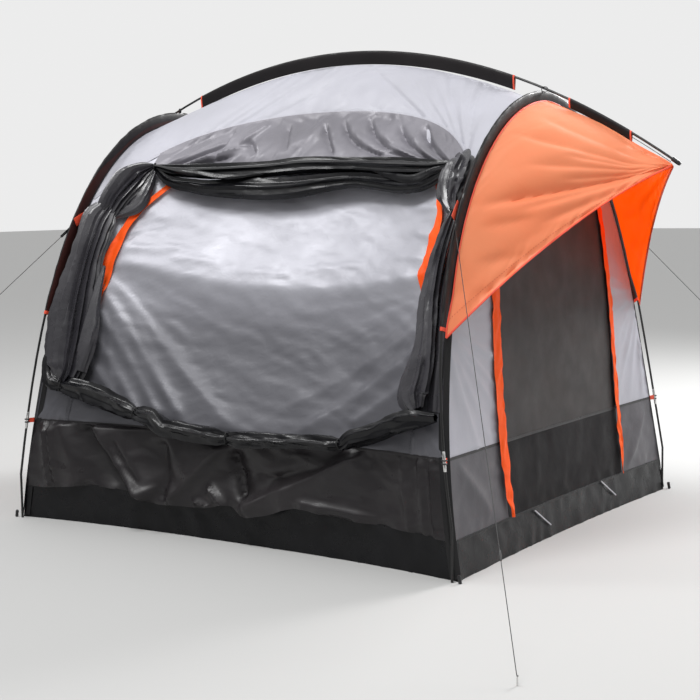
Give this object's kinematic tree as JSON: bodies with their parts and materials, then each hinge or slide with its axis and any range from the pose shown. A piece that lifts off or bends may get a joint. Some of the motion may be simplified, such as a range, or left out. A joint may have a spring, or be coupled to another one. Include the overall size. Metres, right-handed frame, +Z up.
{
  "type": "tailgate tent",
  "caption": "Tent for the back of a car: arched side poles and a ridge pole carry a silver body, a dark bathtub floor, a rolled tunnel sleeve and peaked orange awnings over its side doors.",
  "frame": {"origin": "on the ground, in the middle of the floor", "axes": "+Z up, -Y towards the vehicle that the tent backs onto, +X towards the door on the right as seen from the vehicle"},
  "size_m": [3.9984, 4.167, 2.2445],
  "materials": {
    "silver_polyester": "satin",
    "charcoal_polyester": "satin",
    "grey_polyester": "satin",
    "sleeve_polyester": "satin",
    "orange_polyester": "satin",
    "black_polyethylene": "satin",
    "dark_mesh": "matte",
    "pole_fibreglass": "satin",
    "black_webbing": "matte",
    "guy_cord": "matte",
    "peg_steel": "satin"
  },
  "bodies": {
    "root": {"arch_pole_left": "pole_fibreglass", "arch_pole_right": "pole_fibreglass", "arch_sleeve_left": "sleeve_polyester", "arch_sleeve_right": "sleeve_polyester", "back_band": "charcoal_polyester", "back_wall": "silver_polyester", "back_window": "dark_mesh", "bathtub_floor": "black_polyethylene", "front_band": "charcoal_polyester", "front_margin_left": "grey_polyester", "front_margin_right": "grey_polyester", "guy_line_back_left": "guy_cord", "guy_line_back_right": "guy_cord", "guy_line_front_left": "guy_cord", "guy_line_front_right": "guy_cord", "guy_peg_back_left": "peg_steel", "guy_peg_back_right": "peg_steel", "guy_peg_front_left": "peg_steel", "guy_peg_front_right": "peg_steel", "left_awning_back": "orange_polyester", "left_awning_front": "orange_polyester", "left_band_back": "charcoal_polyester", "left_band_front": "charcoal_polyester", "left_door": "dark_mesh", "left_door_flap_back": "orange_polyester", "left_door_flap_front": "orange_polyester", "left_wall_arch": "silver_polyester", "leg_clip_back_left": "black_webbing", "leg_clip_back_right": "black_webbing", "leg_clip_front_left": "black_webbing", "leg_clip_front_right": "black_webbing", "panel_flap_left": "orange_polyester", "panel_flap_right": "orange_polyester", "ridge_pole": "pole_fibreglass", "ridge_sleeve_left": "sleeve_polyester", "ridge_sleeve_middle": "sleeve_polyester", "ridge_sleeve_right": "sleeve_polyester", "right_awning_back": "orange_polyester", "right_awning_front": "orange_polyester", "right_band_back": "charcoal_polyester", "right_band_front": "charcoal_polyester", "right_door": "dark_mesh", "right_door_flap_back": "orange_polyester", "right_door_flap_front": "orange_polyester", "right_wall_arch": "silver_polyester", "roof_back": "silver_polyester", "roof_front": "silver_polyester", "sleeve_gather_left": "sleeve_polyester", "sleeve_gather_right": "sleeve_polyester", "sleeve_roll_bottom": "sleeve_polyester", "sleeve_roll_top": "sleeve_polyester", "sleeve_veil": "sleeve_polyester", "vehicle_side_panel": "grey_polyester"}
  },
  "joints": []
}
